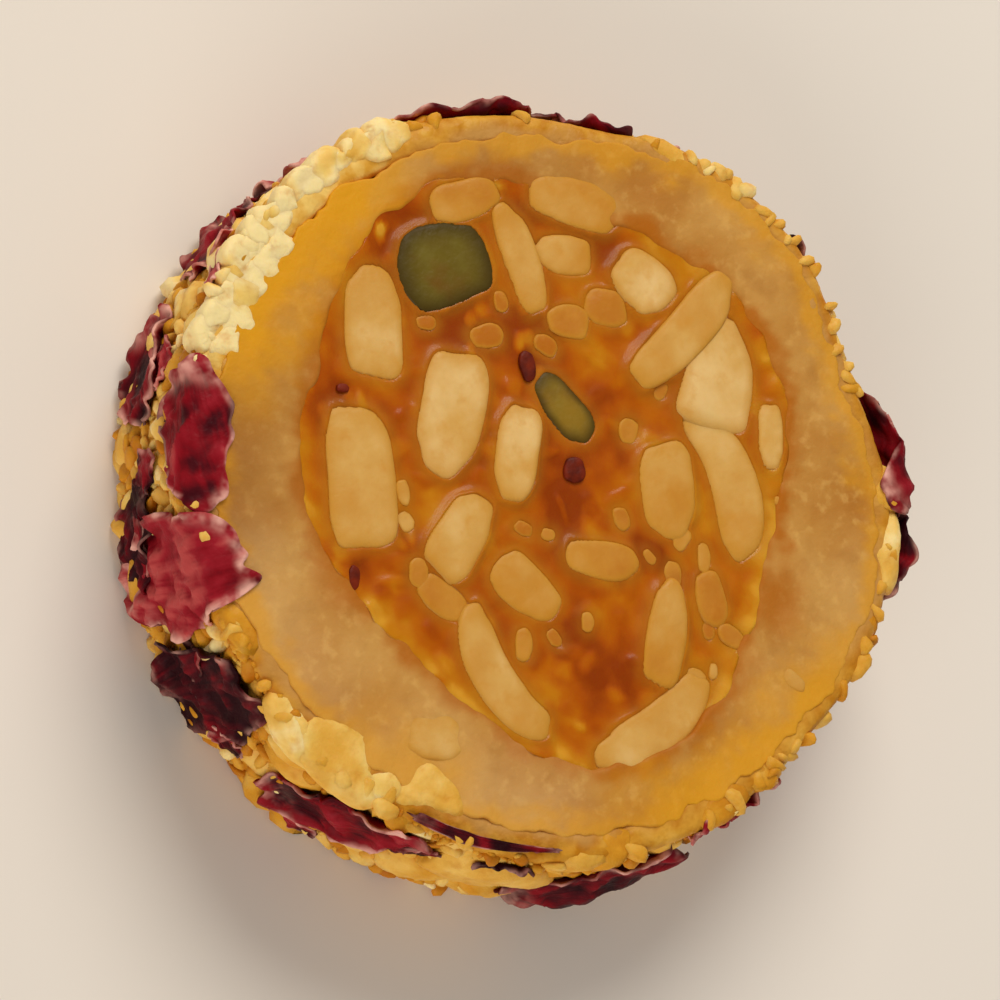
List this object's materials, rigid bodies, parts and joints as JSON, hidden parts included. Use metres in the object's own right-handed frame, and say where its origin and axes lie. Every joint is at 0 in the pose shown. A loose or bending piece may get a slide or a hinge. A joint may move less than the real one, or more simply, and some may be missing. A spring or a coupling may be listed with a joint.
{
  "type": "cashew roll slice",
  "caption": "Round slice of a cashew roll: nuts in amber jelly inside a cashew paste ring, coated with chopped nuts and dried rose petals.",
  "frame": {"origin": "middle of the slice's outline, on the plane of the lower cut that it rests on", "axes": "+Z along the axis of the roll, up out of the shown cut; -Y towards the side of the coat that the picture shows; the dark green pistachio lies towards -X"},
  "size_m": [0.0556, 0.0556, 0.0143],
  "materials": {
    "nut_filling": "moist amber jelly with pale nuts and green pistachios, cut by a knife",
    "cashew_paste": "soft tan nut paste with a fine grain and a slight moist sheen",
    "nut_petal_coat": "golden chopped nuts with dark red dried rose petals"
  },
  "bodies": {
    "root": {"nut_filling": "nut_filling", "cashew_paste": "cashew_paste", "nut_petal_coat": "nut_petal_coat"}
  },
  "joints": []
}
